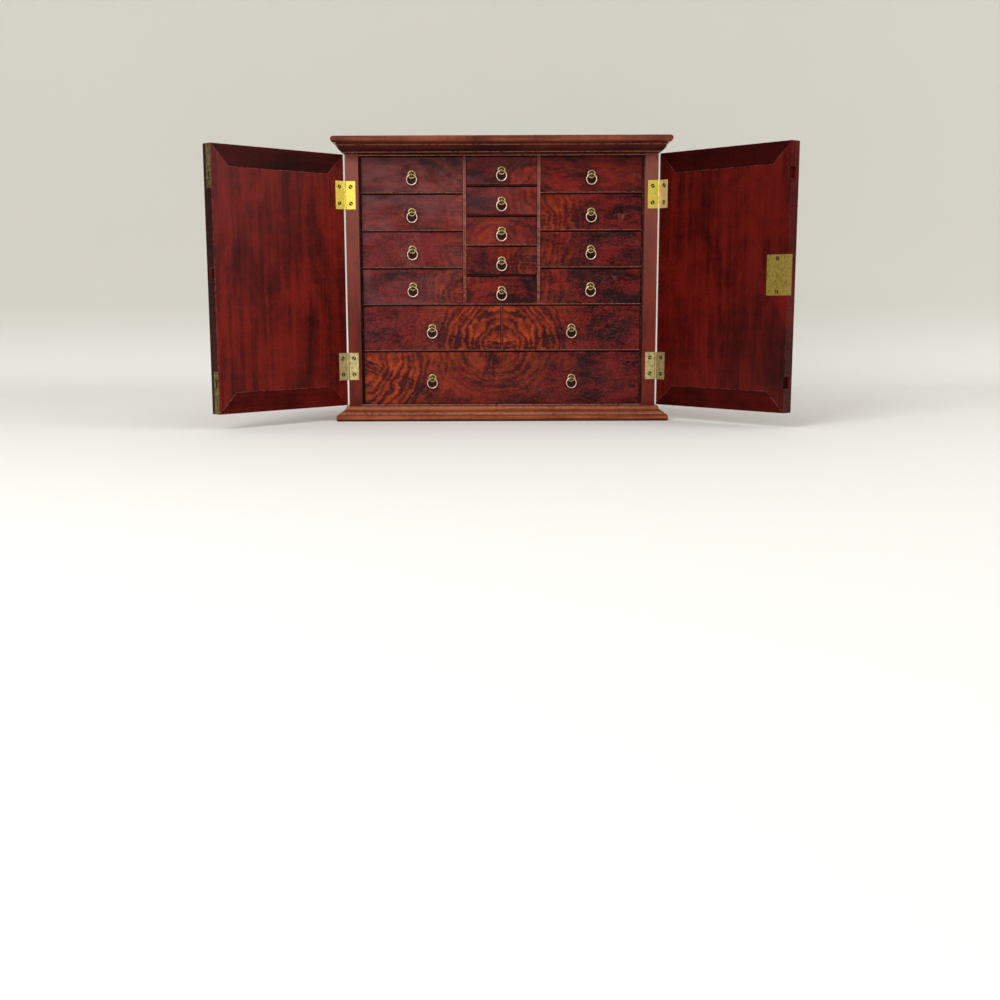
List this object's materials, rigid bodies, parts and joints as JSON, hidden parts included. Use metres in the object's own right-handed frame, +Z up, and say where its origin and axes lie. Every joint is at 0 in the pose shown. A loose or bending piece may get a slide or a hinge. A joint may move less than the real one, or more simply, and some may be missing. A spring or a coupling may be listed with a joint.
{
  "type": "specimen cabinet",
  "caption": "Table-top wooden cabinet with two hinged doors over banks of shallow ring-pull drawers in three columns, between a moulded cornice and a moulded plinth.",
  "frame": {"origin": "middle of the case's front plane, on the surface that the plinth rests on", "axes": "+X to the right as seen from the front, +Y to the back, +Z up"},
  "size_m": [0.8766, 0.4242, 0.447],
  "materials": {
    "carcase_mahogany": "waxed, worn",
    "moulding_mahogany": "waxed, worn",
    "door_mahogany": "French polish",
    "drawer_mahogany": "French polish on flame figure",
    "backboard_pine": "stained",
    "hinge_brass": "tarnished",
    "bolt_brass": "dull",
    "lock_brass": "scuffed",
    "pull_brass": "cast and turned, rubbed"
  },
  "bodies": {
    "carcase": {"side_left": "carcase_mahogany", "side_right": "carcase_mahogany", "case_floor": "carcase_mahogany", "case_top": "carcase_mahogany", "back_panel": "backboard_pine", "plinth": "moulding_mahogany", "cornice": "moulding_mahogany", "cornice_top": "moulding_mahogany", "partitions": "carcase_mahogany", "drawer_dividers": "carcase_mahogany", "case_hinge_leaves": "hinge_brass", "hinge_pins": "hinge_brass"},
    "door_left": {"door_left_panel": "door_mahogany", "door_left_clamps": "door_mahogany", "door_left_hinge_leaves": "hinge_brass", "flush_bolt_plates": "bolt_brass"},
    "door_right": {"door_right_panel": "door_mahogany", "door_right_clamps": "door_mahogany", "door_right_hinge_leaves": "hinge_brass", "lock_case": "lock_brass", "keyhole_escutcheon": "lock_brass"},
    "top_bolt": {"flush_bolt_top": "bolt_brass"},
    "bottom_bolt": {"flush_bolt_bottom": "bolt_brass"},
    "door_lock_bolt": {"lock_bolt": "lock_brass"},
    "left_1_drawer": {"drawer_left_1": "drawer_mahogany"},
    "left_1_ring": {"ring_left_1": "pull_brass"},
    "left_2_drawer": {"drawer_left_2": "drawer_mahogany"},
    "left_2_ring": {"ring_left_2": "pull_brass"},
    "left_3_drawer": {"drawer_left_3": "drawer_mahogany"},
    "left_3_ring": {"ring_left_3": "pull_brass"},
    "left_4_drawer": {"drawer_left_4": "drawer_mahogany"},
    "left_4_ring": {"ring_left_4": "pull_brass"},
    "right_1_drawer": {"drawer_right_1": "drawer_mahogany"},
    "right_1_ring": {"ring_right_1": "pull_brass"},
    "right_2_drawer": {"drawer_right_2": "drawer_mahogany"},
    "right_2_ring": {"ring_right_2": "pull_brass"},
    "right_3_drawer": {"drawer_right_3": "drawer_mahogany"},
    "right_3_ring": {"ring_right_3": "pull_brass"},
    "right_4_drawer": {"drawer_right_4": "drawer_mahogany"},
    "right_4_ring": {"ring_right_4": "pull_brass"},
    "centre_1_drawer": {"drawer_centre_1": "drawer_mahogany"},
    "centre_1_ring": {"ring_centre_1": "pull_brass"},
    "centre_2_drawer": {"drawer_centre_2": "drawer_mahogany"},
    "centre_2_ring": {"ring_centre_2": "pull_brass"},
    "centre_3_drawer": {"drawer_centre_3": "drawer_mahogany"},
    "centre_3_ring": {"ring_centre_3": "pull_brass"},
    "centre_4_drawer": {"drawer_centre_4": "drawer_mahogany"},
    "centre_4_ring": {"ring_centre_4": "pull_brass"},
    "centre_5_drawer": {"drawer_centre_5": "drawer_mahogany"},
    "centre_5_ring": {"ring_centre_5": "pull_brass"},
    "half_left_drawer": {"drawer_half_left": "drawer_mahogany"},
    "half_left_ring": {"ring_half_left": "pull_brass"},
    "half_right_drawer": {"drawer_half_right": "drawer_mahogany"},
    "half_right_ring": {"ring_half_right": "pull_brass"},
    "bottom_drawer": {"drawer_bottom": "drawer_mahogany"},
    "bottom_left_ring": {"ring_bottom_left": "pull_brass"},
    "bottom_right_ring": {"ring_bottom_right": "pull_brass"}
  },
  "joints": [
    {"name": "door_left_hinge", "type": "hinge", "parent": "carcase", "child": "door_left", "pos_m": [-0.2512, -0.0003, 0], "axis": [0, 0, -1], "range_deg": [-134.5, 45.5]},
    {"name": "door_right_hinge", "type": "hinge", "parent": "carcase", "child": "door_right", "pos_m": [0.2512, -0.0003, 0], "axis": [0, 0, 1], "range_deg": [-132.8, 47.2]},
    {"name": "flush_bolt_top_slide", "type": "slide", "parent": "door_left", "child": "top_bolt", "axis": [0, 0, 1], "range_m": [0, 0.0095]},
    {"name": "flush_bolt_bottom_slide", "type": "slide", "parent": "door_left", "child": "bottom_bolt", "axis": [0, 0, -1], "range_m": [0, 0.0095]},
    {"name": "lock_bolt_slide", "type": "slide", "parent": "door_right", "child": "door_lock_bolt", "axis": [0.6794, -0.7337, 0], "range_m": [0, 0.008]},
    {"name": "left_1_slide", "type": "slide", "parent": "carcase", "child": "left_1_drawer", "axis": [0, -1, 0], "range_m": [0, 0.15]},
    {"name": "ring_left_1_swing", "type": "hinge", "parent": "left_1_drawer", "child": "left_1_ring", "pos_m": [-0.14415, 0.0068, 0.39126], "axis": [-1, 0, 0], "range_deg": [-8, 165]},
    {"name": "left_2_slide", "type": "slide", "parent": "carcase", "child": "left_2_drawer", "axis": [0, -1, 0], "range_m": [0, 0.15]},
    {"name": "ring_left_2_swing", "type": "hinge", "parent": "left_2_drawer", "child": "left_2_ring", "pos_m": [-0.14415, 0.0068, 0.33239], "axis": [-1, 0, 0], "range_deg": [-8, 165]},
    {"name": "left_3_slide", "type": "slide", "parent": "carcase", "child": "left_3_drawer", "axis": [0, -1, 0], "range_m": [0, 0.15]},
    {"name": "ring_left_3_swing", "type": "hinge", "parent": "left_3_drawer", "child": "left_3_ring", "pos_m": [-0.14415, 0.0068, 0.27351], "axis": [-1, 0, 0], "range_deg": [-8, 165]},
    {"name": "left_4_slide", "type": "slide", "parent": "carcase", "child": "left_4_drawer", "axis": [0, -1, 0], "range_m": [0, 0.15]},
    {"name": "ring_left_4_swing", "type": "hinge", "parent": "left_4_drawer", "child": "left_4_ring", "pos_m": [-0.14415, 0.0068, 0.21464], "axis": [-1, 0, 0], "range_deg": [-8, 165]},
    {"name": "right_1_slide", "type": "slide", "parent": "carcase", "child": "right_1_drawer", "axis": [0, -1, 0], "range_m": [0, 0.15]},
    {"name": "ring_right_1_swing", "type": "hinge", "parent": "right_1_drawer", "child": "right_1_ring", "pos_m": [0.14415, 0.0068, 0.39126], "axis": [-1, 0, 0], "range_deg": [-8, 165]},
    {"name": "right_2_slide", "type": "slide", "parent": "carcase", "child": "right_2_drawer", "axis": [0, -1, 0], "range_m": [0, 0.15]},
    {"name": "ring_right_2_swing", "type": "hinge", "parent": "right_2_drawer", "child": "right_2_ring", "pos_m": [0.14415, 0.0068, 0.33239], "axis": [-1, 0, 0], "range_deg": [-8, 165]},
    {"name": "right_3_slide", "type": "slide", "parent": "carcase", "child": "right_3_drawer", "axis": [0, -1, 0], "range_m": [0, 0.15]},
    {"name": "ring_right_3_swing", "type": "hinge", "parent": "right_3_drawer", "child": "right_3_ring", "pos_m": [0.14415, 0.0068, 0.27351], "axis": [-1, 0, 0], "range_deg": [-8, 165]},
    {"name": "right_4_slide", "type": "slide", "parent": "carcase", "child": "right_4_drawer", "axis": [0, -1, 0], "range_m": [0, 0.15]},
    {"name": "ring_right_4_swing", "type": "hinge", "parent": "right_4_drawer", "child": "right_4_ring", "pos_m": [0.14415, 0.0068, 0.21464], "axis": [-1, 0, 0], "range_deg": [-8, 165]},
    {"name": "centre_1_slide", "type": "slide", "parent": "carcase", "child": "centre_1_drawer", "axis": [0, -1, 0], "range_m": [0, 0.15]},
    {"name": "ring_centre_1_swing", "type": "hinge", "parent": "centre_1_drawer", "child": "centre_1_ring", "pos_m": [0, 0.0068, 0.39715], "axis": [-1, 0, 0], "range_deg": [-8, 165]},
    {"name": "centre_2_slide", "type": "slide", "parent": "carcase", "child": "centre_2_drawer", "axis": [0, -1, 0], "range_m": [0, 0.15]},
    {"name": "ring_centre_2_swing", "type": "hinge", "parent": "centre_2_drawer", "child": "centre_2_ring", "pos_m": [0, 0.0068, 0.35005], "axis": [-1, 0, 0], "range_deg": [-8, 165]},
    {"name": "centre_3_slide", "type": "slide", "parent": "carcase", "child": "centre_3_drawer", "axis": [0, -1, 0], "range_m": [0, 0.15]},
    {"name": "ring_centre_3_swing", "type": "hinge", "parent": "centre_3_drawer", "child": "centre_3_ring", "pos_m": [0, 0.0068, 0.30295], "axis": [-1, 0, 0], "range_deg": [-8, 165]},
    {"name": "centre_4_slide", "type": "slide", "parent": "carcase", "child": "centre_4_drawer", "axis": [0, -1, 0], "range_m": [0, 0.15]},
    {"name": "ring_centre_4_swing", "type": "hinge", "parent": "centre_4_drawer", "child": "centre_4_ring", "pos_m": [0, 0.0068, 0.25585], "axis": [-1, 0, 0], "range_deg": [-8, 165]},
    {"name": "centre_5_slide", "type": "slide", "parent": "carcase", "child": "centre_5_drawer", "axis": [0, -1, 0], "range_m": [0, 0.15]},
    {"name": "ring_centre_5_swing", "type": "hinge", "parent": "centre_5_drawer", "child": "centre_5_ring", "pos_m": [0, 0.0068, 0.20875], "axis": [-1, 0, 0], "range_deg": [-8, 165]},
    {"name": "half_left_slide", "type": "slide", "parent": "carcase", "child": "half_left_drawer", "axis": [0, -1, 0], "range_m": [0, 0.15]},
    {"name": "ring_half_left_swing", "type": "hinge", "parent": "half_left_drawer", "child": "half_left_ring", "pos_m": [-0.1136, 0.0068, 0.148], "axis": [-1, 0, 0], "range_deg": [-8, 165]},
    {"name": "half_right_slide", "type": "slide", "parent": "carcase", "child": "half_right_drawer", "axis": [0, -1, 0], "range_m": [0, 0.15]},
    {"name": "ring_half_right_swing", "type": "hinge", "parent": "half_right_drawer", "child": "half_right_ring", "pos_m": [0.1136, 0.0068, 0.148], "axis": [-1, 0, 0], "range_deg": [-8, 165]},
    {"name": "bottom_slide", "type": "slide", "parent": "carcase", "child": "bottom_drawer", "axis": [0, -1, 0], "range_m": [0, 0.15]},
    {"name": "ring_bottom_left_swing", "type": "hinge", "parent": "bottom_drawer", "child": "bottom_left_ring", "pos_m": [-0.114, 0.0068, 0.06665], "axis": [-1, 0, 0], "range_deg": [-8, 165]},
    {"name": "ring_bottom_right_swing", "type": "hinge", "parent": "bottom_drawer", "child": "bottom_right_ring", "pos_m": [0.114, 0.0068, 0.06665], "axis": [-1, 0, 0], "range_deg": [-8, 165]}
  ]
}
